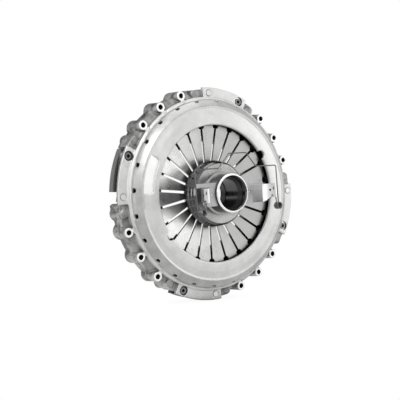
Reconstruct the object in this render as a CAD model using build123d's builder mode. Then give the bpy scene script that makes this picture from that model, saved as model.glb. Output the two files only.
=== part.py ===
"""Pull-type clutch cover assembly for a 430 mm lorry clutch, with its release bearing fitted.

Millimetres. The clutch axis is Y and +Z is up. The origin is on the axis, in the plane of the
face that bolts to the flywheel, and the release bearing side faces -Y. A "height" is a distance
in front of the flywheel face, towards -Y. A "clock" angle is in degrees clockwise from 12
o'clock, seen from the release bearing side.
"""
from build123d import *
import os
from math import atan2, cos, degrees, pi, radians, sin, tan

os.makedirs("parts", exist_ok=True)

# ---------------------------------------------------------------- driving dimensions

# Flywheel interface
bolt_circle_radius = 225.0
bolt_hole_radius = 5.25
bolt_group_clock = 53.5
bolt_step = 15.0
bolts_per_group = 3
groups = 4

# Cover casting
wall = 7.0
skirt_wall = 8.0
skirt_overhang = 2.0
skirt_radius = bolt_circle_radius + skirt_overhang
disc_space_radius = skirt_radius - skirt_wall
foot_inset = 11.5
wall_foot_radius = bolt_circle_radius - foot_inset
shoulder_inset = 7.5
shoulder_radius = wall_foot_radius - shoulder_inset
ridge_inset = 16.8
ridge_radius = shoulder_radius - ridge_inset
crown_inset = 23.2
crown_radius = ridge_radius - crown_inset
rim_width = 15.7
opening_radius = crown_radius - rim_width
boss_height = 48.0
boss_top_radius = 10.0
column_base_radius = 19.0
column_base_inset = 6.5
spot_face_radius = 15.0
deck_drop = 8.0
deck_height = boss_height - deck_drop
shoulder_rise = 10.0
shoulder_height = boss_height + shoulder_rise
ridge_rise = 11.2
ridge_height = shoulder_height + ridge_rise
crown_rise = 2.1
crown_height = ridge_height + crown_rise
scallop_radius = 10.5
dimple_radius = 4.8
dimple_depth = 3.6
pocket_edge = 1.6
pocket_outer_radius = ridge_radius - pocket_edge
pocket_width = 23.6
pocket_inner_radius = pocket_outer_radius - pocket_width
pocket_corner = 9.0
pocket_start_clock = -91.3
pocket_end_clock = -64.9
pocket_depth = 1.6

# Strap pads, straps and their rivets
pad_overhang = 8.5
pad_radius = skirt_radius + pad_overhang
pad_thickness = 7.0
pad_lead = 4.0
pad_trail = 4.6
post_base_radius = 16.0
post_top_radius = 9.0
post_offset = 5.0
strap_circle_inset = 2.0
strap_circle_radius = bolt_circle_radius - strap_circle_inset
strap_start_clock = -2.5
strap_end_clock = 19.6
leaf_thickness = 1.0
leaves = 3
leaf_gap = 0.05
strap_width = 21.0
strap_end_length = 11.0
cover_rivet_radius = 4.5
cover_rivet_head_radius = 6.6
access_hole_radius = 10.0
strap_sleeve_radius = 7.4
strap_sleeve_bore_radius = 3.7
strap_sleeve_recess = 2.6

# Pressure plate
plate_bore_radius = 118.0
plate_gap = 1.5
plate_outer_radius = disc_space_radius - plate_gap
plate_face_height = 9.0
plate_thickness = 18.0
lug_thickness = 16.0
lug_radius = pad_radius - 0.5
lug_start_clock = 0.3
lug_end_clock = 23.0
ridge_ring_width = 8.0
rib_count = 48
rib_thickness = 5.0

# Diaphragm spring
spring_thickness = 5.0
spring_outer_radius = shoulder_radius - wall
spring_tip_radius = 54.2
finger_root_inset = 0.3
finger_root_radius = opening_radius - finger_root_inset
finger_root_depth = 17.3
finger_root_height = crown_height - finger_root_depth
finger_slope = 9.3
ring_slope = 1.2
slot_count = 24
slot_clock = 1.8
slot_width = 5.4
window_start_inset = 6.0
window_start_radius = finger_root_radius - window_start_inset
window_length = 18.0
window_end_radius = window_start_radius + window_length
window_width = 15.0
window_corner = 5.0
fulcrum_inset = 4.5
fulcrum_radius = spring_outer_radius - fulcrum_inset
fulcrum_wire_radius = 2.5
ridge_ring_inset = 27.0
ridge_ring_radius = spring_outer_radius - ridge_ring_inset

# Release bearing
sleeve_bore_radius = 35.5
sleeve_radius = 42.0
tube_length = 44.7
neck_length = 49.0
sleeve_neck_wall = 3.8
sleeve_collar_radius = 46.5
bearing_face_radius = 65.0
face_plate_thickness = 4.0
shell_radius = 72.7
shell_depth = 28.0
shell_wall = 4.7
ball_radius = 6.35
ball_count = 22
ball_circle_radius = 56.0
race_stand_off = 8.7
race_half = 7.5
face_stand_off = 15.5
race_clearance = 0.3
bush_wall = 1.3
bush_length = 16.0
release_travel = 12.0

# Fork wings and the wire clip
fork_turn = 4.5
fork_space = 38.0
wing_sheet = 3.0
wing_half_width = 24.5
wing_flat_end = 56.0
wing_bend_radius = 32.0
wing_rise = 42.0
wing_tab_half_width = 14.5
wing_rivet_x = 50.4
wing_rivet_radius = 3.2
tab_hole_radius = 2.6
tab_hole_drop = 17.0
tab_hole_z = 1.0
tab_slot_length = 8.0
tab_slot_width = 3.2
tab_slot_drop = 6.5
tab_slot_z = 5.0
tab_wire_drop = 10.5
tab_wire_z = -11.0
wing_strip_end = 87.0
wear_plate_thickness = 2.0
wear_plate_drop = 17.0
wear_rivet_head_radius = 5.0
clip_wire_radius = 1.25
clip_bend_radius = 4.0
clip_leg_x = 108.0
clip_leg_z = 54.0
clip_leg_drop = 18.0
clip_step_x = 50.0
clip_step_drop = 16.0
clip_top_x = 22.5
clip_top_z = 84.0
clip_top_drop = 13.0
coil_radius = 6.6
coil_turns = 4.5
coil_pitch = 2.7
coil_z = -34.0
coil_drop = 16.0
bend_steps = 4
coil_steps = 18

# Clearances
running_gap = 0.3
seat_gap = 0.2
ball_pocket_gap = 0.02
wire_hole_gap = 0.1


# ---------------------------------------------------------------- shared geometry

def front(height):
    """Plane across the axis at a height, seen from the release bearing side: x right, y up."""
    return Plane.XZ.offset(height)


def on_circle(radius, clock):
    """Point on a circle about the axis, in the plane that front() gives."""
    return (radius * sin(radians(clock)), radius * cos(radians(clock)))


def sector(inner, outer, start, end):
    """Outline of a ring sector between two clock angles, as one closed wire of lines and arcs."""
    middle = (start + end) / 2
    a, b = on_circle(inner, start), on_circle(outer, start)
    c, d = on_circle(outer, end), on_circle(inner, end)
    Line(a, b)
    ThreePointArc(b, on_circle(outer, middle), c)
    Line(c, d)
    ThreePointArc(d, on_circle(inner, middle), a)


def axis_points(corners):
    """Corners given as (radius, height), on the plane that is turned about the axis."""
    return [(radius, -height) for radius, height in corners]


def save(piece, name):
    """Label a finished piece and write its STEP file."""
    piece.part.label = name
    export_step(piece.part, f"parts/{name}.step")


quarters = [90.0 * k for k in range(groups)]
group_offsets = [bolt_step * (k - (bolts_per_group - 1) / 2) for k in range(bolts_per_group)]
bolt_clocks = [bolt_group_clock + q + s for q in quarters for s in group_offsets]
bolt_points = [on_circle(bolt_circle_radius, c) for c in bolt_clocks]
cover_rivet_points = [on_circle(strap_circle_radius, strap_start_clock + q) for q in quarters]
plate_rivet_points = [on_circle(strap_circle_radius, strap_end_clock + q) for q in quarters]

post_radius = skirt_radius + 4
pad_top = boss_height
pad_underside = pad_top - pad_thickness
pad_start_clock = strap_start_clock - pad_lead
pad_end_clock = strap_end_clock + pad_trail
lug_top = plate_face_height + lug_thickness
strap_half_angle = (strap_end_clock - strap_start_clock) / 2
strap_length = 2 * strap_circle_radius * sin(radians(strap_half_angle))
strap_middle_radius = strap_circle_radius * cos(radians(strap_half_angle))
strap_reach = strap_length / 2 + strap_end_length
flat_reach = strap_length / 2 - strap_end_length
leaf_step = leaf_thickness + leaf_gap
pack_thickness = leaves * leaf_step - leaf_gap
ring_rise = tan(radians(ring_slope))
finger_rise = tan(radians(finger_slope))


def spring_front(radius):
    """Height of the spring's front face at a radius."""
    rise = ring_rise if radius > finger_root_radius else finger_rise
    return finger_root_height + rise * (radius - finger_root_radius)


def spring_back(radius):
    """Height of the spring's back face at a radius."""
    return spring_front(radius) - spring_thickness


fulcrum_height = spring_front(fulcrum_radius) + fulcrum_wire_radius + 0.01
fulcrum_seat_height = fulcrum_height + fulcrum_wire_radius

# ---------------------------------------------------------------- cover casting

# Half the space that is hollow behind the cover's skin
cavity_corners = [
    (opening_radius - 12, -5),
    (disc_space_radius, -5),
    (disc_space_radius, deck_height - 12.5),
    (wall_foot_radius - wall + 4, deck_height - 6),
    (wall_foot_radius - wall, deck_height - 4),
    (wall_foot_radius - wall, deck_height + 2),
    (spring_outer_radius + 2, spring_front(spring_outer_radius) + 1),
    (fulcrum_radius + 4, fulcrum_seat_height),
    (ridge_radius - 3, fulcrum_seat_height),
    (ridge_radius - 6, crown_height - wall - 2),
    (opening_radius, crown_height - wall),
    (opening_radius - 12, crown_height - wall),
]
skin_corners = [
    (opening_radius, 0),
    (skirt_radius, 0),
    (skirt_radius, deck_height - 16),
    (skirt_radius - 2.5, deck_height - 9),
    (wall_foot_radius + 3.5, deck_height - 0.5),
    (wall_foot_radius, deck_height + 2),
    (wall_foot_radius, boss_height + 1.5),
    (wall_foot_radius - 1.5, boss_height + 3.6),
    (wall_foot_radius - 3.5, boss_height + 3.2),
    (wall_foot_radius - 4.5, boss_height + 4.2),
    (shoulder_radius, shoulder_height),
    (shoulder_radius - 4, shoulder_height + 3.8),
    (shoulder_radius - 9, shoulder_height + 7.4),
    (ridge_radius + 3, ridge_height - 0.7),
    (ridge_radius + 0.8, ridge_height),
    (ridge_radius - 0.6, ridge_height - 0.1),
    (ridge_radius - 2.2, ridge_height - 1.5),
    (ridge_radius - 6, ridge_height - 1.0),
    (crown_radius + 6, crown_height - 0.6),
    (crown_radius - 4, crown_height),
    (opening_radius + 1.8, crown_height),
    (opening_radius, crown_height - 1.6),
]

with BuildPart() as clutch_cover:
    # Dished body, turned, still solid behind its skin
    with BuildSketch(Plane.XY):
        with BuildLine():
            Polyline(*axis_points(skin_corners), close=True)
        make_face()
    revolve(axis=Axis.Y)
    # Twelve leaning columns that carry the bolts, each a round lobe at the foot
    for bolt_clock, bolt_point in zip(bolt_clocks, bolt_points):
        # The foot stands a little nearer the axis than the bolt hole
        with BuildSketch(front(0)):
            with Locations(on_circle(bolt_circle_radius - column_base_inset, bolt_clock)):
                Circle(column_base_radius)
        with BuildSketch(front(boss_height)):
            with Locations(bolt_point):
                Circle(boss_top_radius)
        loft()
    # Four strap pads, each a bridge with a walled end and a round post at either end
    for quarter in quarters:
        for post_clock in (pad_start_clock + quarter - post_offset, pad_end_clock + quarter + post_offset):
            with BuildSketch(front(0)):
                with Locations(on_circle(bolt_circle_radius - column_base_inset, post_clock)):
                    Circle(post_base_radius)
            with BuildSketch(front(pad_top - 3)):
                with Locations(on_circle(strap_circle_radius - 2, post_clock)):
                    Circle(post_top_radius)
            loft()
        with BuildSketch(front(0)):
            with BuildLine():
                sector(wall_foot_radius - 1, post_radius, pad_start_clock + quarter - 5, pad_start_clock + quarter)
            make_face()
            with BuildLine():
                sector(wall_foot_radius - 1, post_radius, pad_end_clock + quarter, pad_end_clock + quarter + 4)
            make_face()
        extrude(amount=pad_underside + 2)
        with BuildSketch(front(pad_underside)):
            with BuildLine():
                sector(
                    wall_foot_radius - wall,
                    pad_radius,
                    pad_start_clock + quarter,
                    pad_end_clock + quarter,
                )
            make_face()
        extrude(amount=pad_thickness)
    # Hollow behind the skin, and the window under each pad
    with BuildSketch(Plane.XY):
        with BuildLine():
            Polyline(*axis_points(cavity_corners), close=True)
        make_face()
    revolve(axis=Axis.Y, mode=Mode.SUBTRACT)
    for quarter in quarters:
        with BuildSketch(front(-1)):
            with BuildLine():
                sector(
                    wall_foot_radius - wall - 1,
                    pad_radius + wall,
                    pad_start_clock + quarter + 0.6,
                    pad_end_clock + quarter - 0.4,
                )
            make_face()
        extrude(amount=pad_underside + 1, mode=Mode.SUBTRACT)
    # Bolt holes, and the spot faces that clear the bolt heads
    with BuildSketch(front(0)):
        with Locations(*bolt_points):
            Circle(bolt_hole_radius)
    extrude(amount=boss_height, mode=Mode.SUBTRACT)
    with BuildSketch(front(boss_height)):
        with Locations(*bolt_points):
            Circle(spot_face_radius)
    extrude(amount=wall, mode=Mode.SUBTRACT)
    # Rivet seats and access holes in the pads
    with BuildSketch(front(pad_underside)):
        with Locations(*cover_rivet_points):
            Circle(cover_rivet_radius)
        with Locations(*plate_rivet_points):
            Circle(access_hole_radius)
    extrude(amount=pad_thickness + wall, mode=Mode.SUBTRACT)
    with BuildSketch(front(pad_top - 1.5)):
        with Locations(*cover_rivet_points):
            Circle(cover_rivet_head_radius + 0.8)
    extrude(amount=wall, mode=Mode.SUBTRACT)
    # Round core pockets in the shoulder, halfway between the bolt angles
    with BuildSketch(front(shoulder_height - dimple_depth)):
        for k in range(slot_count):
            with Locations(on_circle(shoulder_radius - 1.0, bolt_group_clock + bolt_step * (k + 0.5))):
                Circle(dimple_radius)
    extrude(amount=2 * dimple_depth, mode=Mode.SUBTRACT)
    # Two scallops in the edge of the opening
    with BuildSketch(front(crown_height - 2 * wall)):
        for turn in (0, 180):
            with Locations(on_circle(opening_radius, bolt_group_clock + turn)):
                Circle(scallop_radius)
    extrude(amount=3 * wall, mode=Mode.SUBTRACT)
    # Milled flat beside the ridge
    with BuildSketch(front(ridge_height - pocket_depth)) as flat:
        with BuildLine():
            sector(pocket_inner_radius, pocket_outer_radius, pocket_start_clock, pocket_end_clock)
        make_face()
        fillet(flat.vertices().sort_by(lambda v: v.X**2 + v.Y**2)[:2], radius=pocket_corner)
    extrude(amount=wall, mode=Mode.SUBTRACT)
save(clutch_cover, "clutch_cover")

with BuildPart() as fulcrum_wire_ring:
    with BuildSketch(Plane.XY):
        with Locations((fulcrum_radius, -fulcrum_height)):
            Circle(fulcrum_wire_radius)
    revolve(axis=Axis.Y)
save(fulcrum_wire_ring, "fulcrum_wire_ring")

# ---------------------------------------------------------------- pressure plate

plate_top = plate_face_height + plate_thickness
ridge_top = spring_back(ridge_ring_radius - 1.5)
half_ridge = ridge_ring_width / 2
plate_corners = [
    (plate_bore_radius, plate_face_height),
    (plate_outer_radius, plate_face_height),
    (plate_outer_radius, lug_top - 1.5),
    (plate_outer_radius - 1.5, lug_top),
    (strap_middle_radius - strap_width / 2 - 3, lug_top),
    (strap_middle_radius - strap_width / 2 - 6, plate_top),
    (ridge_ring_radius + half_ridge + 2, plate_top),
    (ridge_ring_radius + half_ridge, ridge_top - 2),
    (ridge_ring_radius + 1.5, ridge_top),
    (ridge_ring_radius - 1.5, ridge_top),
    (ridge_ring_radius - half_ridge, ridge_top - 2),
    (ridge_ring_radius - half_ridge - 2, plate_top),
    (plate_bore_radius + 3, plate_top),
    (plate_bore_radius, plate_top - 3),
]

with BuildPart() as pressure_plate:
    with BuildSketch(Plane.XY):
        with BuildLine():
            Polyline(*axis_points(plate_corners), close=True)
        make_face()
    revolve(axis=Axis.Y)
    # Cooling ribs between the bore and the fulcrum ridge
    rib_inner = plate_bore_radius + 8
    rib_outer = ridge_ring_radius - half_ridge
    with BuildSketch(front(plate_top - 1)):
        with PolarLocations((rib_inner + rib_outer) / 2, rib_count):
            Rectangle(rib_outer - rib_inner, rib_thickness)
    extrude(amount=7)
    # Lugs that reach out through the cover's windows to the straps
    for quarter in quarters:
        with BuildSketch(front(plate_face_height)):
            with BuildLine():
                sector(
                    plate_outer_radius - 8,
                    lug_radius,
                    lug_start_clock + quarter,
                    lug_end_clock + quarter,
                )
            make_face()
        extrude(amount=lug_thickness)
    with BuildSketch(front(plate_face_height)):
        with Locations(*plate_rivet_points):
            Circle(strap_sleeve_bore_radius + 2)
    extrude(amount=lug_thickness, mode=Mode.SUBTRACT)
save(pressure_plate, "pressure_plate")

# ---------------------------------------------------------------- straps and their rivets


def strap_plane(clock):
    """Plane through a pack's middle: x along the pack, y towards the front."""
    x, z = on_circle(strap_middle_radius, clock)
    along = (cos(radians(clock)), 0, -sin(radians(clock)))
    outward = (sin(radians(clock)), 0, cos(radians(clock)))
    return Plane(origin=(x, 0, z), x_dir=along, z_dir=tuple(-v for v in outward))


for quarter, side in zip(quarters, ("top", "right", "bottom", "left")):
    pack_clock = quarter + strap_start_clock + strap_half_angle
    with BuildPart() as strap_pack:
        for leaf in range(leaves):
            low_end = lug_top + leaf * leaf_step
            high_end = pad_underside - pack_thickness + leaf * leaf_step
            with BuildSketch(strap_plane(pack_clock)):
                with BuildLine():
                    Polyline(
                        (-strap_reach, high_end),
                        (-flat_reach, high_end),
                        (flat_reach, low_end),
                        (strap_reach, low_end),
                        (strap_reach, low_end + leaf_thickness),
                        (flat_reach, low_end + leaf_thickness),
                        (-flat_reach, high_end + leaf_thickness),
                        (-strap_reach, high_end + leaf_thickness),
                        close=True,
                    )
                make_face()
            extrude(amount=strap_width / 2, both=True)
        with BuildSketch(front(plate_face_height)):
            with Locations(on_circle(strap_circle_radius, strap_start_clock + quarter)):
                Circle(cover_rivet_radius)
            with Locations(on_circle(strap_circle_radius, strap_end_clock + quarter)):
                Circle(strap_sleeve_bore_radius + 2)
        extrude(amount=boss_height, mode=Mode.SUBTRACT)
    save(strap_pack, f"strap_pack_{side}")

rivet_foot_height = pad_underside - pack_thickness
with BuildPart() as cover_strap_rivets:
    with BuildSketch(front(rivet_foot_height - 2.5)):
        with Locations(*cover_rivet_points):
            Circle(cover_rivet_head_radius + 1)
    extrude(amount=2.5)
    with BuildSketch(front(rivet_foot_height)):
        with Locations(*cover_rivet_points):
            Circle(cover_rivet_radius)
    extrude(amount=pad_top - 1.5 - rivet_foot_height)
    with BuildSketch(front(pad_top - 1.5)):
        with Locations(*cover_rivet_points):
            Circle(cover_rivet_head_radius)
    extrude(amount=2.1, taper=12)
save(cover_strap_rivets, "cover_strap_rivets")

sleeve_foot = lug_top + pack_thickness
washer_thickness = 2.0
with BuildPart() as strap_washers:
    with BuildSketch(front(sleeve_foot)):
        with Locations(*plate_rivet_points):
            Circle(strap_sleeve_radius + 2)
        with Locations(*plate_rivet_points):
            Circle(strap_sleeve_bore_radius + 2, mode=Mode.SUBTRACT)
    extrude(amount=washer_thickness)
save(strap_washers, "strap_washers")

with BuildPart() as plate_strap_rivets:
    with BuildSketch(front(plate_face_height + 2)):
        with Locations(*plate_rivet_points):
            Circle(strap_sleeve_bore_radius + 2)
    extrude(amount=sleeve_foot + washer_thickness - plate_face_height - 2)
    with BuildSketch(front(sleeve_foot + washer_thickness)):
        with Locations(*plate_rivet_points):
            Circle(strap_sleeve_radius)
    extrude(amount=pad_top - strap_sleeve_recess - sleeve_foot - washer_thickness)
    with BuildSketch(front(plate_face_height + 2)):
        with Locations(*plate_rivet_points):
            Circle(strap_sleeve_bore_radius)
    extrude(amount=pad_top, mode=Mode.SUBTRACT)
save(plate_strap_rivets, "plate_strap_rivets")

# ---------------------------------------------------------------- diaphragm spring

slot_start_radius = spring_tip_radius - 4
slot_middle_radius = (slot_start_radius + finger_root_radius) / 2
window_middle_radius = (window_start_radius + window_end_radius) / 2
with BuildPart() as diaphragm_spring:
    with BuildSketch(Plane.XY):
        with BuildLine():
            Polyline(
                *axis_points(
                    [
                        (spring_tip_radius, spring_front(spring_tip_radius)),
                        (finger_root_radius, finger_root_height),
                        (spring_outer_radius, spring_front(spring_outer_radius)),
                        (spring_outer_radius, spring_back(spring_outer_radius)),
                        (finger_root_radius, finger_root_height - spring_thickness),
                        (spring_tip_radius, spring_back(spring_tip_radius)),
                    ]
                ),
                close=True,
            )
        make_face()
    revolve(axis=Axis.Y)
    # Radial slots, each ending in a wider window at the finger roots
    with BuildSketch(front(0)):
        with PolarLocations(slot_middle_radius, slot_count, start_angle=90 - slot_clock):
            Rectangle(finger_root_radius - slot_start_radius, slot_width)
        with PolarLocations(window_middle_radius, slot_count, start_angle=90 - slot_clock):
            RectangleRounded(window_length, window_width, window_corner)
    extrude(amount=crown_height, mode=Mode.SUBTRACT)
save(diaphragm_spring, "diaphragm_spring")

# ---------------------------------------------------------------- release bearing, turning side

neck_radius = sleeve_bore_radius + sleeve_neck_wall
inner_bore = neck_radius + 1.2
inner_land = ball_circle_radius - 6.0
inner_shoulder = ball_circle_radius - 4.0
outer_shoulder = ball_circle_radius + 4.0
outer_ring_radius = shell_radius - shell_wall
tip_height = spring_back(spring_tip_radius)
load_neck = spring_tip_radius - 0.8
load_flange_radius = spring_tip_radius + 9
load_flange_top = tip_height - seat_gap
load_flange_low = load_flange_top - 4.0
snap_height = spring_front(spring_tip_radius) + 5.4
snap_thickness = 2.4
load_neck_top = snap_height + snap_thickness + 2.2
ball_height = load_neck_top + race_stand_off + race_half
bearing_face_height = ball_height + face_stand_off
face_back = bearing_face_height - face_plate_thickness
shell_low_height = bearing_face_height - shell_depth
lock_height = load_flange_top + 5.0
lock_wire_radius = 1.4
groove_radius = lock_wire_radius + seat_gap / 4

with BuildPart() as bearing_inner_ring:
    with BuildSketch(Plane.XY):
        with BuildLine():
            Polyline(
                *axis_points(
                    [
                        (inner_bore, load_flange_low + 2),
                        (inner_land - 1, load_flange_low + 2),
                        (inner_land, load_flange_low + 3),
                        (inner_land, ball_height - race_half),
                        (inner_shoulder, ball_height - race_half),
                        (inner_shoulder, ball_height + race_half - 1),
                        (inner_land, ball_height + race_half - 1),
                        (inner_land, face_back - 1.5),
                        (inner_bore, face_back - 1.5),
                    ]
                ),
                close=True,
            )
        make_face()
        with Locations((ball_circle_radius, -ball_height)):
            Circle(ball_radius + race_clearance, mode=Mode.SUBTRACT)
        with Locations((inner_land, -lock_height)):
            Circle(groove_radius, mode=Mode.SUBTRACT)
    revolve(axis=Axis.Y)
save(bearing_inner_ring, "bearing_inner_ring")

with BuildPart() as load_ring:
    with BuildSketch(Plane.XY):
        with BuildLine():
            Polyline(
                *axis_points(
                    [
                        (inner_land, load_flange_low),
                        (load_flange_radius, load_flange_low),
                        (load_flange_radius, load_flange_top),
                        (load_neck, load_flange_top),
                        (load_neck, snap_height),
                        (load_neck - 1.3, snap_height),
                        (load_neck - 1.3, snap_height + snap_thickness),
                        (load_neck, snap_height + snap_thickness),
                        (load_neck, load_neck_top),
                        (inner_land, load_neck_top),
                    ]
                ),
                close=True,
            )
        make_face()
        with Locations((inner_land, -lock_height)):
            Circle(groove_radius, mode=Mode.SUBTRACT)
    revolve(axis=Axis.Y)
save(load_ring, "load_ring")

with BuildPart() as lock_wire:
    with BuildSketch(Plane.XY):
        with Locations((inner_land, -lock_height)):
            Circle(lock_wire_radius)
    revolve(axis=Axis.Y, revolution_arc=345)
save(lock_wire, "lock_wire")

disc_outer = load_flange_radius + 2
disc_foot = spring_front(disc_outer) + seat_gap
disc_thickness = 1.8
with BuildPart() as tip_disc_spring:
    with BuildSketch(Plane.XY):
        with BuildLine():
            Polyline(
                *axis_points(
                    [
                        (load_neck + seat_gap, snap_height - disc_thickness),
                        (disc_outer, disc_foot),
                        (disc_outer, disc_foot + disc_thickness),
                        (load_neck + seat_gap, snap_height),
                    ]
                ),
                close=True,
            )
        make_face()
    revolve(axis=Axis.Y)
save(tip_disc_spring, "tip_disc_spring")

with BuildPart() as snap_ring:
    with BuildSketch(Plane.XY):
        with BuildLine():
            Polyline(
                *axis_points(
                    [
                        (load_neck - 1.3, snap_height),
                        (load_neck + 4.5, snap_height),
                        (load_neck + 4.5, snap_height + snap_thickness),
                        (load_neck - 1.3, snap_height + snap_thickness),
                    ]
                ),
                close=True,
            )
        make_face()
    revolve(axis=Axis.Y, revolution_arc=348)
save(snap_ring, "snap_ring")

# ---------------------------------------------------------------- release bearing, balls and cage

with BuildPart() as bearing_balls:
    with Locations(Plane.XZ.offset(ball_height)):
        with PolarLocations(ball_circle_radius, ball_count):
            Sphere(ball_radius)
save(bearing_balls, "bearing_balls")

cage_half_wall = 1.4
cage_half_width = ball_radius + 0.9
with BuildPart() as bearing_cage:
    with BuildSketch(front(ball_height - cage_half_width)):
        Circle(ball_circle_radius + cage_half_wall)
        Circle(ball_circle_radius - cage_half_wall, mode=Mode.SUBTRACT)
    extrude(amount=2 * cage_half_width)
    # Round pockets, bored through the band towards the axis
    for k in range(ball_count):
        out_x, out_z = on_circle(1.0, 90 - k * 360 / ball_count)
        bore_start = (out_x * (ball_circle_radius - 4), -ball_height, out_z * (ball_circle_radius - 4))
        with BuildSketch(Plane(origin=bore_start, x_dir=(0, 1, 0), z_dir=(out_x, 0, out_z))):
            Circle(ball_radius + ball_pocket_gap)
        extrude(amount=8, mode=Mode.SUBTRACT)
save(bearing_cage, "bearing_cage")

# ---------------------------------------------------------------- release bearing, fixed side

with BuildPart() as bearing_outer_ring:
    with BuildSketch(Plane.XY):
        with BuildLine():
            Polyline(
                *axis_points(
                    [
                        (outer_shoulder, shell_low_height + 2),
                        (outer_ring_radius, shell_low_height + 2),
                        (outer_ring_radius, face_back),
                        (outer_shoulder, face_back),
                    ]
                ),
                close=True,
            )
        make_face()
        with Locations((ball_circle_radius, -ball_height)):
            Circle(ball_radius + race_clearance, mode=Mode.SUBTRACT)
    revolve(axis=Axis.Y)
save(bearing_outer_ring, "bearing_outer_ring")

seal_inner = inner_land + running_gap
for seal_name, seal_height in (
    ("rear_bearing_seal", shell_low_height + 2.2),
    ("front_bearing_seal", face_back - 2.6),
):
    with BuildPart() as seal:
        with BuildSketch(front(seal_height)):
            Circle(outer_shoulder)
            Circle(seal_inner, mode=Mode.SUBTRACT)
        extrude(amount=2.2)
    save(seal, seal_name)

with BuildPart() as bearing_shell:
    with BuildSketch(Plane.XY):
        with BuildLine():
            Polyline(
                *axis_points(
                    [
                        (outer_ring_radius, shell_low_height),
                        (shell_radius, shell_low_height),
                        (shell_radius, shell_low_height + 6),
                        (shell_radius - 1.8, shell_low_height + 8),
                        (shell_radius - 1.8, shell_low_height + 16),
                        (shell_radius - 3.2, shell_low_height + 18),
                        (shell_radius - 3.2, face_back),
                        (bearing_face_radius + 1.2, bearing_face_height),
                        (bearing_face_radius, bearing_face_height),
                        (bearing_face_radius, face_back),
                        (outer_ring_radius, face_back),
                    ]
                ),
                close=True,
            )
        make_face()
    revolve(axis=Axis.Y)
save(bearing_shell, "bearing_shell")

bush_bore_radius = sleeve_bore_radius - bush_wall
sleeve_end_height = bearing_face_height + tube_length
sleeve_inner_end_height = bearing_face_height - neck_length
with BuildPart() as release_sleeve:
    with BuildSketch(Plane.XY):
        with BuildLine():
            Polyline(
                *axis_points(
                    [
                        (sleeve_bore_radius, sleeve_inner_end_height),
                        (neck_radius, sleeve_inner_end_height),
                        (neck_radius, face_back),
                        (bearing_face_radius, face_back),
                        (bearing_face_radius, bearing_face_height),
                        (sleeve_collar_radius, bearing_face_height),
                        (sleeve_collar_radius, bearing_face_height + 4),
                        (sleeve_radius, bearing_face_height + 6),
                        (sleeve_radius, sleeve_end_height - 2.5),
                        (sleeve_radius - 2, sleeve_end_height),
                        (sleeve_bore_radius + 2.4, sleeve_end_height),
                        (sleeve_bore_radius, sleeve_end_height - 3.2),
                    ]
                ),
                close=True,
            )
        make_face()
    revolve(axis=Axis.Y)
save(release_sleeve, "release_sleeve")

front_bush_height = sleeve_end_height - 13 - bush_length
for bush_name, bush_height in (
    ("front_guide_bush", front_bush_height),
    ("rear_guide_bush", sleeve_inner_end_height + 4),
):
    with BuildPart() as bush:
        with BuildSketch(front(bush_height)):
            Circle(sleeve_bore_radius)
            Circle(bush_bore_radius, mode=Mode.SUBTRACT)
        extrude(amount=bush_length)
    save(bush, bush_name)

# ---------------------------------------------------------------- fork wings and wear plates


def fork_plane(height):
    """Plane across the axis that is turned with the fork wings."""
    turn = radians(fork_turn)
    return Plane(origin=(0, -height, 0), x_dir=(cos(turn), 0, sin(turn)), z_dir=(0, -1, 0))


def fork_side_plane():
    """Plane through the axis and the middle of both wings: x outward, y towards the front."""
    turn = radians(fork_turn)
    return Plane(origin=(0, 0, 0), x_dir=(cos(turn), 0, sin(turn)), z_dir=(sin(turn), 0, -cos(turn)))


wing_height = bearing_face_height + fork_space
wing_end_height = wing_height + wing_rise
tab_hole_height = wing_end_height - tab_hole_drop
tab_slot_height = wing_end_height - tab_slot_drop
tab_wire_height = wing_end_height - tab_wire_drop
bend_centre_height = wing_height + wing_bend_radius
wing_back = wing_height - wing_sheet
wing_end_x = wing_flat_end + wing_bend_radius
wear_rivet_taper = degrees(atan2(wear_rivet_head_radius - wing_rivet_radius, wear_plate_thickness))


def bent_sheet(side, near, far, start, top):
    """Section of a sheet bent towards the front, between two depths measured from its front face."""
    turn = sin(radians(45))
    centre_x = side * wing_flat_end
    inside, outside = wing_bend_radius + near, wing_bend_radius + far
    Line((side * start, bend_centre_height - inside), (centre_x, bend_centre_height - inside))
    ThreePointArc(
        (centre_x, bend_centre_height - inside),
        (centre_x + side * inside * turn, bend_centre_height - inside * turn),
        (centre_x + side * inside, bend_centre_height),
    )
    Line((centre_x + side * inside, bend_centre_height), (centre_x + side * inside, top))
    Line((centre_x + side * inside, top), (centre_x + side * outside, top))
    Line((centre_x + side * outside, top), (centre_x + side * outside, bend_centre_height))
    ThreePointArc(
        (centre_x + side * outside, bend_centre_height),
        (centre_x + side * outside * turn, bend_centre_height - outside * turn),
        (centre_x, bend_centre_height - outside),
    )
    Line((centre_x, bend_centre_height - outside), (side * start, bend_centre_height - outside))
    Line((side * start, bend_centre_height - outside), (side * start, bend_centre_height - inside))


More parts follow.
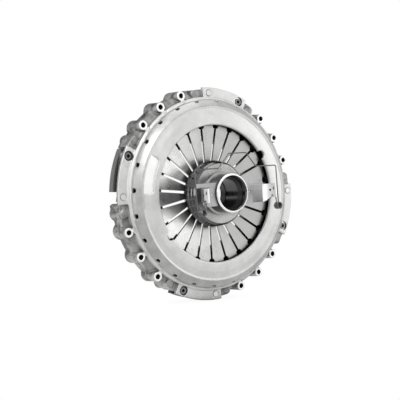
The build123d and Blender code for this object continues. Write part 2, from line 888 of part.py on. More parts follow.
for side, side_name in ((1, "right"), (-1, "left")):
    outward_plane = Plane(
        origin=fork_plane(0).from_local_coords((side * wing_flat_end, 0, 0)),
        x_dir=(0, -1, 0),
        z_dir=fork_plane(0).x_dir * side,
    )
    with BuildPart() as fork_wing:
        # Shoe, bent from the flat base towards the front
        with BuildSketch(fork_side_plane()):
            with BuildLine():
                bent_sheet(side, 0, wing_sheet, sleeve_radius - 4, wing_end_height)
            make_face()
        extrude(amount=wing_half_width, both=True)
        # The tab is narrower than the base: square above, with a sloping edge below
        low_edge = [
            (wing_back - 1, -wing_half_width - 1),
            (wing_height + 9, -wing_half_width - 1),
            (wing_height + 9, -wing_half_width),
            (wing_height + 26, -wing_tab_half_width),
            (wing_end_height + 1, -wing_tab_half_width),
            (wing_end_height + 1, -wing_half_width - 1),
        ]
        high_edge = [
            (wing_back - 1, wing_tab_half_width),
            (wing_end_height + 1, wing_tab_half_width),
            (wing_end_height + 1, wing_half_width + 1),
            (wing_back - 1, wing_half_width + 1),
        ]
        with BuildSketch(outward_plane):
            for edge_corners in (low_edge, high_edge):
                with BuildLine():
                    Polyline(*[(h, -side * z) for h, z in edge_corners], close=True)
                make_face()
        extrude(amount=2 * wing_bend_radius, mode=Mode.SUBTRACT)
        # Above the shoe, the base runs on as a flat strip
        strip_low = wing_tab_half_width + 1
        strip_x = (wing_flat_end + wing_strip_end) / 2
        with BuildSketch(fork_plane(wing_back)):
            with Locations((side * strip_x, (strip_low + wing_half_width) / 2)):
                Rectangle(wing_strip_end - wing_flat_end, wing_half_width - strip_low)
        extrude(amount=wing_sheet)
        # The base meets the sleeve along an arc
        with BuildSketch(fork_plane(wing_back - 1)):
            Circle(sleeve_radius)
        extrude(amount=wing_sheet + 2, mode=Mode.SUBTRACT)
        # Rivet hole in the base, and the hole, slot and wire hole in the tab
        with BuildSketch(fork_plane(wing_back)):
            with Locations((side * wing_rivet_x, 0)):
                Circle(wing_rivet_radius)
        extrude(amount=wing_sheet, mode=Mode.SUBTRACT)
        with BuildSketch(outward_plane):
            with Locations((tab_hole_height, -side * tab_hole_z)):
                Circle(tab_hole_radius)
            with Locations((tab_slot_height, -side * tab_slot_z)):
                SlotOverall(tab_slot_length, tab_slot_width, rotation=90)
            with Locations((tab_wire_height, -side * tab_wire_z)):
                Circle(clip_wire_radius + wire_hole_gap)
        extrude(amount=2 * wing_bend_radius, mode=Mode.SUBTRACT)
    save(fork_wing, f"{side_name}_fork_wing")

    # The wear plate's rivet hole is countersunk, so that nothing stands proud of its face
    with BuildPart() as wear_plate:
        with BuildSketch(fork_side_plane()):
            with BuildLine():
                bent_sheet(
                    side,
                    wing_sheet,
                    wing_sheet + wear_plate_thickness,
                    sleeve_radius + 3,
                    bend_centre_height + 0.5,
                )
            make_face()
        extrude(amount=wing_tab_half_width - 1, both=True)
        with BuildSketch(fork_plane(wing_end_height - wear_plate_drop)):
            Circle(2 * wing_end_x)
        extrude(amount=wing_bend_radius, mode=Mode.SUBTRACT)
        with BuildSketch(fork_plane(wing_back - wear_plate_thickness)):
            with Locations((side * wing_rivet_x, 0)):
                Circle(wear_rivet_head_radius)
        extrude(amount=wear_plate_thickness, taper=wear_rivet_taper, mode=Mode.SUBTRACT)
    save(wear_plate, f"{side_name}_wear_plate")

with BuildPart() as wear_plate_rivets:
    rivet_spots = [(side * wing_rivet_x, 0) for side in (1, -1)]
    with BuildSketch(fork_plane(wing_back - wear_plate_thickness)):
        with Locations(*rivet_spots):
            Circle(wear_rivet_head_radius)
    extrude(amount=wear_plate_thickness, taper=wear_rivet_taper)
    with BuildSketch(fork_plane(wing_back)):
        with Locations(*rivet_spots):
            Circle(wing_rivet_radius)
    extrude(amount=wing_sheet - 1.2)
save(wear_plate_rivets, "wear_plate_rivets")

# ---------------------------------------------------------------- wire clip


def clip_point(x, z, height):
    """Point of the clip in the turned frame of the fork wings."""
    return fork_plane(height).from_local_coords((x, z, 0))


def bent_wire(points, bend):
    """Corners of a wire that runs straight between the points, rounded off at each inner one."""
    trail = [points[0]]
    for before, corner, after in zip(points, points[1:], points[2:]):
        back = (before - corner).normalized()
        ahead = (after - corner).normalized()
        half_angle = radians(back.get_angle(ahead)) / 2
        run = bend / tan(half_angle)
        centre = corner + (back + ahead).normalized() * (bend / sin(half_angle))
        arm_in = corner + back * run - centre
        arm_out = corner + ahead * run - centre
        turn = pi - 2 * half_angle
        for step in range(bend_steps + 1):
            share_in = sin(turn * (1 - step / bend_steps)) / sin(turn)
            share_out = sin(turn * step / bend_steps) / sin(turn)
            trail.append(centre + arm_in * share_in + arm_out * share_out)
    return trail + [points[-1]]


clip_leg_height = wing_end_height - clip_leg_drop
clip_step_height = wing_end_height - clip_step_drop
clip_top_height = wing_end_height - clip_top_drop
coil_back_height = wing_end_height - coil_drop
coil_front_height = coil_back_height + coil_turns * coil_pitch
coil_x = clip_leg_x - coil_radius
hook_x = coil_x - coil_radius
leg_points = bent_wire(
    [
        clip_point(0, clip_top_z, clip_top_height),
        clip_point(clip_top_x, clip_top_z, clip_top_height),
        clip_point(clip_step_x, clip_leg_z, clip_step_height),
        clip_point(clip_leg_x, clip_leg_z, clip_leg_height),
        clip_point(clip_leg_x, coil_z, coil_back_height),
    ],
    clip_bend_radius,
)
coil_points = []
for step in range(1, round(coil_turns * coil_steps)):
    wound = 2 * pi * step / coil_steps
    coil_points.append(
        clip_point(
            coil_x + coil_radius * cos(wound),
            coil_z - coil_radius * sin(wound),
            coil_back_height + coil_pitch * wound / (2 * pi),
        )
    )
hook_points = bent_wire(
    [
        clip_point(hook_x, coil_z, coil_front_height),
        clip_point(hook_x, tab_wire_z, tab_wire_height),
        clip_point(wing_end_x - 3, tab_wire_z, tab_wire_height),
    ],
    clip_bend_radius / 2,
)
with BuildPart() as fork_clip_wire:
    # Right half in one length: cranked top, leg, coil, and the short leg hooked through the tab
    with BuildLine():
        Polyline(*leg_points, *coil_points, *hook_points)
    with BuildSketch(Plane(origin=leg_points[0], z_dir=fork_plane(0).x_dir)):
        Circle(clip_wire_radius)
    sweep(transition=Transition.ROUND)
    # The left half is its mirror image
    mirror(about=Plane(origin=(0, 0, 0), z_dir=fork_plane(0).x_dir))
save(fork_clip_wire, "fork_clip_wire")
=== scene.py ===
# Clutch pressure plate: cover, diaphragm spring, pressure plate and release bearing.
# Metres. The clutch axis is Y, the release bearing side faces -Y, and +Z is up.
import bpy
import bmesh
from math import atan2, cos, degrees, radians, sin, sqrt
from mathutils import Matrix, Vector


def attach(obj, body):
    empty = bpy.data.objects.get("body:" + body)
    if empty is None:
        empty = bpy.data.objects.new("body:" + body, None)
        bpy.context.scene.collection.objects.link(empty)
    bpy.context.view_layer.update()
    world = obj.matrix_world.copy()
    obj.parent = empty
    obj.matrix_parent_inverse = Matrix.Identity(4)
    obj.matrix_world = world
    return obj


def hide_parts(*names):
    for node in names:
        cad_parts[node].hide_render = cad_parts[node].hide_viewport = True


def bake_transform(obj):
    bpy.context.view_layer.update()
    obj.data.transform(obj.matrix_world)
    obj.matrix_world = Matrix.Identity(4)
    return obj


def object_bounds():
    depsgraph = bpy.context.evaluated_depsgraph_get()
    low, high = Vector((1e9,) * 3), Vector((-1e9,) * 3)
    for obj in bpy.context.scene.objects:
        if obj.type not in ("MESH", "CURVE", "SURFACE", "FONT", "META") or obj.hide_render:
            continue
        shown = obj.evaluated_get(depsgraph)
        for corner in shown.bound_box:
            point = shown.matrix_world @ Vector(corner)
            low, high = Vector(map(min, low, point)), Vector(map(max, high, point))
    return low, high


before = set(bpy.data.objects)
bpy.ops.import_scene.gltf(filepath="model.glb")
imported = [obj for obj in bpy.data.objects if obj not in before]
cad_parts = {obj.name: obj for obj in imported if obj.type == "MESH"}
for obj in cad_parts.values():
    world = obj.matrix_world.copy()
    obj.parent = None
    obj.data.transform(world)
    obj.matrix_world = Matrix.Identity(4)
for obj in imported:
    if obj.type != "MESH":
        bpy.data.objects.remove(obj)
cad_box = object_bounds()

# ---------------------------------------------------------------- camera
# A portrait length lens, level with the clutch axis, from the left of the release side.
view_turn = radians(-34.88)
view_rise = radians(-0.49)
view_distance = 1.5775
aim_right = -0.000377
aim_up = 0.013912
out_dir = Vector((sin(view_turn) * cos(view_rise), -cos(view_turn) * cos(view_rise), sin(view_rise)))
right_dir = Vector((cos(view_turn), sin(view_turn), 0))
up_dir = out_dir.cross(right_dir)
camera = bpy.data.objects.new("camera", bpy.data.cameras.new("camera"))
bpy.context.collection.objects.link(camera)
camera.data.sensor_width = 36
camera.data.lens = 62.46
camera.location = out_dir * view_distance - right_dir * aim_right - up_dir * aim_up
camera.rotation_mode = "QUATERNION"
camera.rotation_quaternion = Matrix((right_dir, up_dir, out_dir)).transposed().to_quaternion()
bpy.context.scene.camera = camera
bpy.context.scene.view_settings.view_transform = "Standard"

# ---------------------------------------------------------------- studio
# A white sweep of paper for a floor, under a white sky, with soft boxes in front. Seen directly,
# in a reflection or through the part, both are white, the floor with a faint painted contact
# shadow near the part; they light the part more softly.


def seen_white(tree, lit, white):
    """Mix so that camera, glossy and transmission rays meet white and all others meet lit."""
    rays = tree.nodes.new("ShaderNodeLightPath")
    first = tree.nodes.new("ShaderNodeMath")
    first.operation = "MAXIMUM"
    tree.links.new(rays.outputs["Is Camera Ray"], first.inputs[0])
    tree.links.new(rays.outputs["Is Transmission Ray"], first.inputs[1])
    second = tree.nodes.new("ShaderNodeMath")
    second.operation = "MAXIMUM"
    tree.links.new(first.outputs[0], second.inputs[0])
    tree.links.new(rays.outputs["Is Glossy Ray"], second.inputs[1])
    mix = tree.nodes.new("ShaderNodeMixShader")
    tree.links.new(second.outputs[0], mix.inputs[0])
    tree.links.new(lit.outputs[0], mix.inputs[1])
    tree.links.new(white.outputs[0], mix.inputs[2])
    return mix


floor_level = cad_box[0].z - 0.0005
bpy.ops.mesh.primitive_plane_add(size=12, location=(0, 0, floor_level))
floor = bpy.context.object
floor.name = "studio_floor"
paper = bpy.data.materials.new("studio_paper")
paper.use_nodes = True
tree = paper.node_tree
shader = tree.nodes["Principled BSDF"]
shader.inputs["Base Color"].default_value = (0.85, 0.85, 0.85, 1)
shader.inputs["Roughness"].default_value = 0.9
shader.inputs["Specular IOR Level"].default_value = 0.1
# Painted contact shadow: ambient occlusion near the part dims the floor's white glow a little
contact_shadow = tree.nodes.new("ShaderNodeAmbientOcclusion")
contact_shadow.inputs["Distance"].default_value = 0.03
shade = tree.nodes.new("ShaderNodeMapRange")
shade.inputs["To Min"].default_value = 0.93
shade.inputs["To Max"].default_value = 1.0
tree.links.new(contact_shadow.outputs["AO"], shade.inputs["Value"])
glow = tree.nodes.new("ShaderNodeEmission")
tree.links.new(shade.outputs["Result"], glow.inputs["Strength"])
mix = seen_white(tree, shader, glow)
tree.links.new(mix.outputs[0], tree.nodes["Material Output"].inputs["Surface"])
floor.data.materials.append(paper)

sky = bpy.data.worlds.new("studio_sky")
bpy.context.scene.world = sky
sky.use_nodes = True
tree = sky.node_tree
soft_sky = tree.nodes["Background"]
soft_sky.inputs["Color"].default_value = (1, 1, 1, 1)
soft_sky.inputs["Strength"].default_value = 0.30
white_sky = tree.nodes.new("ShaderNodeBackground")
white_sky.inputs["Color"].default_value = (1, 1, 1, 1)
white_sky.inputs["Strength"].default_value = 1.0
mix = seen_white(tree, soft_sky, white_sky)
tree.links.new(mix.outputs[0], tree.nodes["World Output"].inputs["Surface"])


def soft_box(name, place, aim, width, height, watts):
    """A rectangular soft box that shines from place towards aim."""
    box = bpy.data.lights.new(name, "AREA")
    box.shape = "RECTANGLE"
    box.size = width
    box.size_y = height
    box.energy = watts
    stand = bpy.data.objects.new(name, box)
    bpy.context.collection.objects.link(stand)
    stand.location = place
    stand.rotation_mode = "QUATERNION"
    stand.rotation_quaternion = (Vector(aim) - Vector(place)).to_track_quat("-Z", "Y")


# Black flags for the polished and cast sides to reflect: one behind and above, one behind the
# left side, with white gaps round them
felt = bpy.data.materials.new("black_felt")
felt.use_nodes = True
felt.node_tree.nodes["Principled BSDF"].inputs["Base Color"].default_value = (0.01, 0.01, 0.01, 1)
felt.node_tree.nodes["Principled BSDF"].inputs["Roughness"].default_value = 1
for flag_name, place, width, depth in (("back_flag", (-0.1, 1.0, 0.95), 2.2, 0.9),
                                       ("left_flag", (-1.0, 1.1, -0.1), 0.8, 0.9)):
    bpy.ops.mesh.primitive_plane_add(size=1, location=place)
    flag = bpy.context.object
    flag.name = flag_name
    flag.scale = (width, depth, 1)
    flag.rotation_mode = "QUATERNION"
    flag.rotation_quaternion = (-Vector(place)).to_track_quat("Z", "Y")
    flag.data.materials.append(felt)
    flag.visible_camera = False

soft_box("key_box", (-1.1, -2.0, 1.5), (0, 0, 0), 1.3, 1.3, 20)
soft_box("near_box", (-0.45, -0.8, 0.6), (-0.05, 0, 0.05), 0.4, 0.4, 2.4)
soft_box("left_box", (-2.1, -0.75, -0.1), (0, 0, 0), 0.5, 1.2, 7)
soft_box("right_box", (1.9, -1.3, 0.4), (0, 0, 0), 0.8, 1.4, 10)
soft_box("top_box", (0.3, -0.5, 2.3), (0, 0, 0), 1.4, 1.0, 10)

# ---------------------------------------------------------------- cover casting
# Grey iron casting, shot blasted and clear coated, with its boss tops and one flat milled bright,
# their near white partly a painted highlight.
# Twelve columns carry the bolts, four pads carry the straps, and the shoulder runs up to a ridge
# and a flat rim round the opening.


def link_mix(tree, factor, low, high, blend="MIX"):
    """A colour mix of two sockets or colours, driven by a socket."""
    mix = tree.nodes.new("ShaderNodeMix")
    mix.data_type = "RGBA"
    mix.blend_type = blend
    tree.links.new(factor, mix.inputs["Factor"])
    for name, value in (("A", low), ("B", high)):
        if isinstance(value, tuple):
            mix.inputs[name].default_value = value
        else:
            tree.links.new(value, mix.inputs[name])
    return mix.outputs["Result"]


def ramp(tree, socket, start, end, low=0.0, high=1.0):
    """A smooth step of a socket, from low at start to high at end."""
    step = tree.nodes.new("ShaderNodeMapRange")
    step.interpolation_type = "SMOOTHSTEP"
    step.inputs["From Min"].default_value = start
    step.inputs["From Max"].default_value = end
    step.inputs["To Min"].default_value = low
    step.inputs["To Max"].default_value = high
    tree.links.new(socket, step.inputs["Value"])
    return step.outputs["Result"]


def axis_distance(tree, place):
    """Distance from the clutch axis, as a socket."""
    parts = tree.nodes.new("ShaderNodeSeparateXYZ")
    tree.links.new(place, parts.inputs["Vector"])
    flat = tree.nodes.new("ShaderNodeCombineXYZ")
    tree.links.new(parts.outputs["X"], flat.inputs["X"])
    tree.links.new(parts.outputs["Z"], flat.inputs["Y"])
    length = tree.nodes.new("ShaderNodeVectorMath")
    length.operation = "LENGTH"
    tree.links.new(flat.outputs["Vector"], length.inputs[0])
    return length.outputs["Value"]


def metal(name, colour, metallic, roughness, grain_size, grain_depth, mottle,
          speck=0.0, painted_shade=0.6, crease=0.012, edge=0.0, turned=0.0, scale_and_shade_from=None, scale_and_shade_tone=0.012,
          scale_and_shade_run=0.001, lumps=0.0):
    """A metal surface: cloudy tone, fine grain, painted shade in its creases and worn edges.

    turned is the depth of lathe grooves round the clutch axis. From scale_and_shade_from outwards the
    surface is darkened, as mould scale and as painted shade, and lumps is the depth of the mould's
    unevenness there.
    """
    made = bpy.data.materials.new(name)
    made.use_nodes = True
    tree = made.node_tree
    shader = tree.nodes["Principled BSDF"]
    shader.inputs["Metallic"].default_value = metallic
    place = tree.nodes.new("ShaderNodeTexCoord").outputs["Object"]
    cloud = tree.nodes.new("ShaderNodeTexNoise")
    cloud.inputs["Scale"].default_value = 30
    cloud.inputs["Detail"].default_value = 6
    cloud.inputs["Roughness"].default_value = 0.65
    tree.links.new(place, cloud.inputs["Vector"])
    low = tuple(c * (1 - mottle) for c in colour) + (1,)
    high = tuple(min(1, c * (1 + mottle)) for c in colour) + (1,)
    tone = link_mix(tree, ramp(tree, cloud.outputs["Fac"], 0.3, 0.7), low, high)
    grain = tree.nodes.new("ShaderNodeTexNoise")
    grain.inputs["Scale"].default_value = 1 / grain_size
    grain.inputs["Detail"].default_value = 4
    tree.links.new(place, grain.inputs["Vector"])
    if speck:
        pits = ramp(tree, grain.outputs["Fac"], 0.3, 0.5, speck, 0)
        tone = link_mix(tree, pits, tone, tuple(0.25 * c for c in colour) + (1,))
    if edge:
        shape = tree.nodes.new("ShaderNodeNewGeometry")
        worn = ramp(tree, shape.outputs["Pointiness"], 0.52, 0.60, 0, edge)
        tone = link_mix(tree, worn, tone, tuple(min(1, 1.35 * c) for c in colour) + (1,))
    # Painted shade: an ambient occlusion mask darkens the colour towards 6 percent in corners and creases,
    # within the distance crease
    if painted_shade:
        corner = tree.nodes.new("ShaderNodeAmbientOcclusion")
        corner.inputs["Distance"].default_value = crease
        corner.samples = 8
        painted_shade_mask = ramp(tree, corner.outputs["AO"], 0.25, 0.9, painted_shade, 0)
        tone = link_mix(tree, painted_shade_mask, tone, tuple(0.06 * c for c in colour) + (1,))
    # From scale_and_shade_from outwards the colour is darkened, as mould scale and as painted shade
    if scale_and_shade_from:
        scale = ramp(tree, axis_distance(tree, place), scale_and_shade_from - scale_and_shade_run, scale_and_shade_from + scale_and_shade_run)
    if scale_and_shade_from and lumps:
        # Only the side walls are darkened, as mould scale and as painted shade on the sides; the front is
        # blasted clean
        facing = tree.nodes.new("ShaderNodeNewGeometry")
        axial = tree.nodes.new("ShaderNodeSeparateXYZ")
        tree.links.new(facing.outputs["Normal"], axial.inputs["Vector"])
        level = tree.nodes.new("ShaderNodeMath")
        level.operation = "ABSOLUTE"
        tree.links.new(axial.outputs["Y"], level.inputs[0])
        side = tree.nodes.new("ShaderNodeMath")
        side.operation = "MULTIPLY"
        tree.links.new(scale, side.inputs[0])
        tree.links.new(ramp(tree, level.outputs[0], 0.25, 0.85, 1, 0.15), side.inputs[1])
        # and it lessens towards the tops of the bolt columns
        rise = tree.nodes.new("ShaderNodeSeparateXYZ")
        tree.links.new(place, rise.inputs["Vector"])
        low_down = tree.nodes.new("ShaderNodeMath")
        low_down.operation = "MULTIPLY"
        tree.links.new(side.outputs[0], low_down.inputs[0])
        tree.links.new(ramp(tree, rise.outputs["Y"], -0.047, -0.033, 0.25, 1), low_down.inputs[1])
        scale = low_down.outputs[0]
    if scale_and_shade_from:
        scale_and_shade_colour = (scale_and_shade_tone, scale_and_shade_tone, scale_and_shade_tone, 1)
        if lumps:
            patch = tree.nodes.new("ShaderNodeTexNoise")
            patch.inputs["Scale"].default_value = 48
            patch.inputs["Detail"].default_value = 3
            patch.inputs["Distortion"].default_value = 0.8
            tree.links.new(place, patch.inputs["Vector"])
            half = tuple(0.34 * c for c in scale_and_shade_colour[:3]) + (1,)
            scale_and_shade_colour = link_mix(tree, ramp(tree, patch.outputs["Fac"], 0.36, 0.62), half, scale_and_shade_colour)
        dark = link_mix(tree, scale, (1, 1, 1, 1), scale_and_shade_colour)
        whole = tree.nodes.new("ShaderNodeValue")
        whole.outputs[0].default_value = 1
        tone = link_mix(tree, whole.outputs[0], tone, dark, "MULTIPLY")
    tree.links.new(tone, shader.inputs["Base Color"])
    gloss = ramp(tree, cloud.outputs["Fac"], 0.2, 0.8, max(0.05, roughness - 0.08), min(1, roughness + 0.08))
    if lumps:
        wet = tree.nodes.new("ShaderNodeMath")
        wet.operation = "MULTIPLY"
        tree.links.new(gloss, wet.inputs[0])
        tree.links.new(ramp(tree, scale, 0, 1, 1, 0.9), wet.inputs[1])
        gloss = wet.outputs[0]
    tree.links.new(gloss, shader.inputs["Roughness"])
    rounded = tree.nodes.new("ShaderNodeBevel")
    rounded.samples = 4
    rounded.inputs["Radius"].default_value = 0.0006
    bump = tree.nodes.new("ShaderNodeBump")
    bump.inputs["Distance"].default_value = grain_depth
    tree.links.new(grain.outputs["Fac"], bump.inputs["Height"])
    tree.links.new(rounded.outputs["Normal"], bump.inputs["Normal"])
    normal = bump.outputs["Normal"]
    if lumps:
        uneven = tree.nodes.new("ShaderNodeTexNoise")
        uneven.inputs["Scale"].default_value = 110
        uneven.inputs["Detail"].default_value = 2
        tree.links.new(place, uneven.inputs["Vector"])
        depth = tree.nodes.new("ShaderNodeMath")
        depth.operation = "MULTIPLY"
        tree.links.new(uneven.outputs["Fac"], depth.inputs[0])
        tree.links.new(scale, depth.inputs[1])
        mould = tree.nodes.new("ShaderNodeBump")
        mould.inputs["Distance"].default_value = lumps
        tree.links.new(depth.outputs[0], mould.inputs["Height"])
        tree.links.new(normal, mould.inputs["Normal"])
        normal = mould.outputs["Normal"]
    if turned:
        grooves = tree.nodes.new("ShaderNodeMath")
        grooves.operation = "PINGPONG"
        grooves.inputs[1].default_value = 0.0005
        tree.links.new(axis_distance(tree, place), grooves.inputs[0])
        lathe = tree.nodes.new("ShaderNodeBump")
        lathe.inputs["Distance"].default_value = turned / 0.0005
        tree.links.new(grooves.outputs[0], lathe.inputs["Height"])
        tree.links.new(normal, lathe.inputs["Normal"])
        normal = lathe.outputs["Normal"]
    tree.links.new(normal, shader.inputs["Normal"])
    return made


def coat(material, *nodes):
    """Put one material on CAD nodes that are shown as they are."""
    for node in nodes:
        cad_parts[node].data.materials.clear()
        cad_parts[node].data.materials.append(material)


def cast_copy(node, name, voxel, passes):
    """A CAD node's shape with its edges softened, as a sand mould leaves them."""
    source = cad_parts[node]
    piece = bpy.data.objects.new(name, source.data.copy())
    bpy.context.collection.objects.link(piece)
    piece.data.materials.clear()
    skin = piece.modifiers.new("skin", "REMESH")
    skin.mode = "VOXEL"
    skin.voxel_size = voxel
    skin.use_smooth_shade = True
    soft = piece.modifiers.new("soft", "SMOOTH")
    soft.factor = 0.5
    soft.iterations = passes
    bpy.context.view_layer.objects.active = piece
    piece.select_set(True)
    bpy.ops.object.modifier_apply(modifier="skin")
    bpy.ops.object.modifier_apply(modifier="soft")
    piece.select_set(False)
    return piece


def on_circle(radius, clock, height):
    """Point at a radius, a clock angle and a height in front of the flywheel face."""
    return Vector((radius * sin(radians(clock)), -height, radius * cos(radians(clock))))


# Beyond the bolt circle the side walls are darkened in patches, as mould scale and as painted shade
cast_iron = metal("blasted_cast_iron", (0.60, 0.60, 0.595), 0.55, 0.42, 0.0014, 0.00018, 0.08,
                  speck=0.2, painted_shade=0.9, crease=0.03, edge=0.7,
                  scale_and_shade_from=0.2105, scale_and_shade_tone=0.8, scale_and_shade_run=0.004, lumps=0.003)
# The deck between the columns is darker, as painted shade between the columns
deck_shade_iron = metal("deck_painted_shade", (0.24, 0.24, 0.238), 0.6, 0.34, 0.0014, 0.0002, 0.5,
                  speck=0.2, painted_shade=0.9, crease=0.03, edge=0.5)
# The shoulder's darker colour is painted shade, holding down the key light on its outward faces
shoulder_shade_iron = metal("shoulder_painted_shade", (0.40, 0.40, 0.397), 0.72, 0.4, 0.0014, 0.00014, 0.14,
                      speck=0.2, painted_shade=0.9, crease=0.02, edge=0.7)
# Boss tops and the milled flat: machined, and near white partly as a painted highlight
milled_highlight_iron = metal("milled_iron_painted_highlight", (0.93, 0.93, 0.925), 0.2, 0.4, 0.0008, 0.00004, 0.03,
                    painted_shade=0.5, crease=0.004)
# Bolt hole walls near black as painted shade in the holes
bore_shade_iron = metal("bolt_hole_painted_shade", (0.015, 0.015, 0.015), 0.2, 0.7, 0.001, 0.0001, 0.1)
cover = cast_copy("clutch_cover", "cover_casting", 0.0011, 4)
# The cover's inside near black as painted shade in the hollow under the rim
hollow_shade_iron = metal("hollow_painted_shade", (0.06, 0.06, 0.059), 0.3, 0.6, 0.0014, 0.0003, 0.2)
for material in (cast_iron, milled_highlight_iron, bore_shade_iron, hollow_shade_iron, deck_shade_iron, shoulder_shade_iron):
    cover.data.materials.append(material)
MILLED, BORED, HOLLOW, DECK, SHOULDER = 1, 2, 3, 4, 5
hollow_radius = 0.206
hollow_height = 0.0655
flange_radius = 0.208
boss_top_radius = 0.0105
boss_top_height = 0.0472
bored_radius = 0.0061
deck_heights = (0.030, 0.0465)
shoulder_inner_radius = 0.1905
shoulder_low_height = 0.0475
flat_heights = (hollow_height, 0.0684)
flat_radii = (0.1655, 0.1872)
flat_clocks = (-90.8, -65.4)
bolt_clocks = [53.5 + 90 * k + step for k in range(4) for step in (-15, 0, 15)]
bolt_points = [on_circle(0.225, clock, 0) for clock in bolt_clocks]
# Faces take the painted shade of the hollow, the deck, the bolt holes and the shoulder, and the painted
# highlight of the boss tops and the milled flat
for face in cover.data.polygons:
    spot = face.center
    height = -spot.y
    reach = sqrt(spot.x ** 2 + spot.z ** 2)
    if reach < hollow_radius and height < hollow_height and face.normal.y > -0.25:
        face.material_index = HOLLOW
    elif reach > flange_radius:
        near = min((spot.x - p.x) ** 2 + (spot.z - p.z) ** 2 for p in bolt_points) ** 0.5
        if deck_heights[0] < height < deck_heights[1] and face.normal.y < -0.45:
            face.material_index = DECK
        if near < bored_radius and abs(face.normal.y) < 0.8:
            face.material_index = BORED
        elif near < boss_top_radius and height > boss_top_height:
            face.material_index = MILLED
    elif shoulder_inner_radius < reach and height > shoulder_low_height:
        face.material_index = SHOULDER
    elif flat_heights[0] < height < flat_heights[1] and flat_radii[0] < reach < flat_radii[1]:
        clock = degrees(atan2(spot.x, spot.z))
        if flat_clocks[0] < clock < flat_clocks[1] and face.normal.y < -0.985:
            face.material_index = MILLED
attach(cover, "cover")
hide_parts("clutch_cover")

# ---------------------------------------------------------------- pressure plate
# Grey iron ring with ribs on its back and four lugs, cast, with a ground friction face.
plate_iron = metal("plain_cast_iron", (0.24, 0.24, 0.237), 0.4, 0.55, 0.0014, 0.0003, 0.12,
                   speck=0.2, painted_shade=0.9, crease=0.03)
ground_iron = metal("ground_cast_iron", (0.5, 0.5, 0.495), 0.8, 0.3, 0.0006, 0.00002, 0.06, turned=0.000004)
coat(plate_iron, "pressure_plate")
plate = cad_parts["pressure_plate"]
plate.data.materials.append(ground_iron)
GROUND = 1
for face in plate.data.polygons:
    if face.normal.y > 0.9:
        face.material_index = GROUND

# ---------------------------------------------------------------- straps and rivets
# Three leaves of rolled spring steel in each pack. One end is riveted under a pad of the cover,
# the other under a sleeve on a lug of the pressure plate, so the pack flexes as the plate lifts.
rivet_steel = metal("plain_rivet_steel", (0.62, 0.62, 0.615), 0.6, 0.4, 0.0006, 0.00004, 0.1, crease=0.003)
coat(rivet_steel, "cover_strap_rivets", "strap_washers")
# These rivets show down the access holes in the pads; their dark colour is painted shade in the holes
rivet_sleeve_shade = metal("rivet_sleeve_painted_shade", (0.17, 0.17, 0.172), 0.8, 0.35, 0.0006, 0.00004, 0.2,
                     painted_shade=0.95, crease=0.008)
coat(rivet_sleeve_shade, "plate_strap_rivets")
strap_steel = metal("rolled_strap_steel", (0.30, 0.31, 0.33), 0.85, 0.33, 0.0006, 0.00003, 0.1, crease=0.006)
for quarter, side in zip((0, 90, 180, 270), ("top", "right", "bottom", "left")):
    pack = bpy.data.objects.new("strap_leaves_" + side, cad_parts["strap_pack_" + side].data.copy())
    bpy.context.collection.objects.link(pack)
    pack.data.materials.clear()
    pack.data.materials.append(strap_steel)
    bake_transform(pack)
    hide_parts("strap_pack_" + side)

# ---------------------------------------------------------------- diaphragm spring
# One dished disc of spring steel, shot peened, cut into 24 fingers with a window at each root.
# It pivots on the wire ring under the cover. Each finger is its own length of mesh, cut across
# in even steps along its length.
# From r 0.1525 outwards the roots are near black, painted shade under the cover's rim, and the long crease
# reach paints shade on the fingers near the rim and the bearing
spring_steel = metal("peened_spring_steel", (0.50, 0.50, 0.495), 0.92, 0.3, 0.0007, 0.000003, 0.04,
                     speck=0.02, painted_shade=0.95, crease=0.021, scale_and_shade_from=0.1525, scale_and_shade_tone=0.04)
whole_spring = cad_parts["diaphragm_spring"].data
fingers = 24
finger_clock = 15
half_finger = 7.5
first_slot_clock = 1.8
tip_radius = 0.054
cuts = 17
cut_step = 0.0085
for k in range(fingers):
    mesh = bmesh.new()
    mesh.from_mesh(whole_spring)
    middle = first_slot_clock + finger_clock * k + half_finger
    for turn, keep in ((middle - half_finger, 1), (middle + half_finger, -1)):
        across = on_circle(1, turn + 90, 0)
        everything = mesh.verts[:] + mesh.edges[:] + mesh.faces[:]
        bmesh.ops.bisect_plane(mesh, geom=everything, dist=1e-7, plane_co=(0, 0, 0),
                               plane_no=across * keep, clear_inner=True)
    outward = on_circle(1, middle, 0)
    for step in range(1, cuts + 1):
        everything = mesh.verts[:] + mesh.edges[:] + mesh.faces[:]
        bmesh.ops.bisect_plane(mesh, geom=everything, dist=1e-7,
                               plane_co=outward * (tip_radius + cut_step * step), plane_no=outward)
    shape = bpy.data.meshes.new("spring_finger_%02d" % k)
    mesh.to_mesh(shape)
    mesh.free()
    finger = bpy.data.objects.new("spring_finger_%02d" % k, shape)
    bpy.context.collection.objects.link(finger)
    shape.materials.clear()
    shape.materials.append(spring_steel)
    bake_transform(finger)
    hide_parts("diaphragm_spring")
drawn_wire = metal("drawn_spring_wire", (0.16, 0.16, 0.165), 0.8, 0.38, 0.0006, 0.00003, 0.1)
coat(drawn_wire, "fulcrum_wire_ring")

# ---------------------------------------------------------------- release bearing, turning side
# The inner ring and the load ring run with the spring: the spring's tips sit between the load
# ring's flange and a disc spring that a snap ring holds. Balls run in a moulded cage.
ring_steel = metal("ground_ring_steel", (0.5, 0.5, 0.51), 0.9, 0.25, 0.0005, 0.00002, 0.05)
coat(ring_steel, "bearing_inner_ring", "load_ring", "tip_disc_spring", "bearing_balls")
coat(drawn_wire, "lock_wire", "snap_ring")
cage_resin = metal("moulded_cage_resin", (0.03, 0.03, 0.032), 0, 0.5, 0.0008, 0.00005, 0.1)
coat(cage_resin, "bearing_cage")

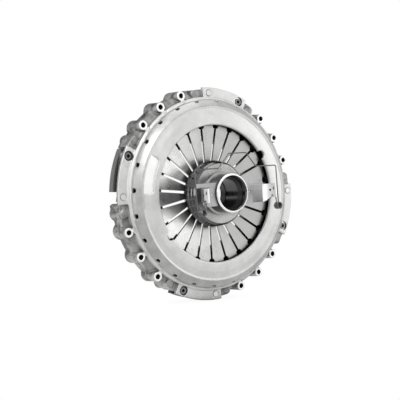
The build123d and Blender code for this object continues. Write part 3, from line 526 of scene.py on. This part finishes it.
# ---------------------------------------------------------------- release bearing, fixed side
# The outer ring, two rubber seals and a pressed shell, phosphated nearly black, that holds the
# ring against the sleeve's disc.
coat(ring_steel, "bearing_outer_ring")
seal_rubber = metal("moulded_rubber", (0.02, 0.02, 0.02), 0, 0.6, 0.0008, 0.00005, 0.1)
coat(seal_rubber, "rear_bearing_seal", "front_bearing_seal")
shell_steel = metal("phosphated_shell", (0.105, 0.105, 0.107), 0.95, 0.14, 0.001, 0.00001, 0.25,
                    painted_shade=0.95, crease=0.034)
coat(shell_steel, "bearing_shell")

# ---------------------------------------------------------------- release sleeve
# Turned steel, phosphated dark, with its disc face and the rim of the tube left bright; the rim's
# near white is partly a painted highlight. Two plastic bushes in its bore run on the gearbox guide
# tube.
sleeve_dark = metal("phosphated_sleeve", (0.075, 0.075, 0.076), 0.9, 0.2, 0.001, 0.00003, 0.15, crease=0.006)
# The long crease reach paints shade on the disc round the tube
turned_face = metal("turned_face", (0.37, 0.37, 0.367), 0.9, 0.24, 0.0006, 0.00002, 0.08,
                    painted_shade=0.95, crease=0.026, turned=0.000002)
# The lathe's fine rings draw its highlights out into wedges
tree = turned_face.node_tree
tree.nodes["Principled BSDF"].inputs["Anisotropic"].default_value = 0.85
rings = tree.nodes.new("ShaderNodeTangent")
rings.direction_type = "RADIAL"
rings.axis = "Y"
tree.links.new(rings.outputs["Tangent"], tree.nodes["Principled BSDF"].inputs["Tangent"])
# The tube's rim is bare turned steel, shown near white partly as a painted highlight
rim_highlight = metal("rim_highlight", (0.92, 0.92, 0.915), 0.4, 0.3, 0.0006, 0.00002, 0.03, painted_shade=0)
coat(sleeve_dark, "release_sleeve")
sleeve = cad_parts["release_sleeve"]
sleeve.data.materials.append(turned_face)
sleeve.data.materials.append(rim_highlight)
TURNED, RIM = 1, 2
disc_heights = (0.0795, 0.0865)
disc_inner_radius = 0.0425
rim_height = 0.1215
rim_inner_radius = 0.0379
for face in sleeve.data.polygons:
    height = -face.center.y
    reach = sqrt(face.center.x ** 2 + face.center.z ** 2)
    if disc_heights[0] < height < disc_heights[1] and reach > disc_inner_radius:
        face.material_index = TURNED
    if height > rim_height and reach > rim_inner_radius:
        face.material_index = RIM
bush_resin = metal("moulded_bush_resin", (0.02, 0.02, 0.02), 0, 0.4, 0.0008, 0.00004, 0.1)
coat(bush_resin, "front_guide_bush", "rear_guide_bush")

# ---------------------------------------------------------------- fork wings
# Pressed steel wings, zinc plated bright, with a hardened wear plate riveted behind each. The
# tabs carry a painted highlight in near white, the lower half of each shoe a painted shade, and
# the small holes are black as painted shade.
bright_zinc = metal("bright_zinc", (0.38, 0.38, 0.383), 0.8, 0.32, 0.0009, 0.00002, 0.08,
                    painted_shade=0.8, crease=0.012)
coat(bright_zinc, "left_fork_wing", "right_fork_wing")
# The tabs' near white is a painted highlight, where the key light strikes them
tab_highlight_zinc = metal("tab_highlight_zinc", (0.93, 0.93, 0.925), 0.25, 0.35, 0.0009, 0.00002, 0.04,
                    painted_shade=0.9, crease=0.005)
# The lower half of each shoe is darker as painted shade
shoe_shade_zinc = metal("shoe_shade_zinc", (0.2, 0.2, 0.202), 0.85, 0.3, 0.0009, 0.00002, 0.2, painted_shade=0.9, crease=0.014)
TAB_HIGHLIGHT, SHOE_SHADE, HOLE_SHADE = 1, 2, 3
tab_x = 0.0785
strip_z = -0.026
shoe_x = 0.058
hole_x = 0.0848
hole_half_width = 0.0135
tab_edge = 0.001
for side in ("left", "right"):
    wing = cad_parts[side + "_fork_wing"]
    wing.data.materials.append(tab_highlight_zinc)
    wing.data.materials.append(shoe_shade_zinc)
    wing.data.materials.append(seal_rubber)
    hole_top = -min(v.co.y for v in wing.data.vertices) - tab_edge
    for face in wing.data.polygons:
        spot = face.center
        if abs(spot.x) > tab_x and spot.z > strip_z:
            face.material_index = TAB_HIGHLIGHT
        elif spot.z < 0.0 and abs(spot.x) > shoe_x:
            face.material_index = SHOE_SHADE
        # The small holes' walls take the black rubber as painted shade in the holes
        inside_tab = abs(spot.x) > hole_x and abs(spot.z) < hole_half_width and -spot.y < hole_top
        if inside_tab and abs(face.normal.x) < 0.5:
            face.material_index = HOLE_SHADE
wear_steel = metal("hardened_wear_steel", (0.25, 0.25, 0.255), 0.8, 0.35, 0.0008, 0.00004, 0.1)
coat(wear_steel, "left_wear_plate", "right_wear_plate")
coat(rivet_steel, "wear_plate_rivets")

# ---------------------------------------------------------------- fork clip
# One length of spring wire with a coil at either side, hooked into the tabs of the wings.
clip_steel = metal("clip_wire_steel", (0.12, 0.12, 0.122), 0.9, 0.3, 0.0006, 0.00001, 0.1)
coat(clip_steel, "fork_clip_wire")
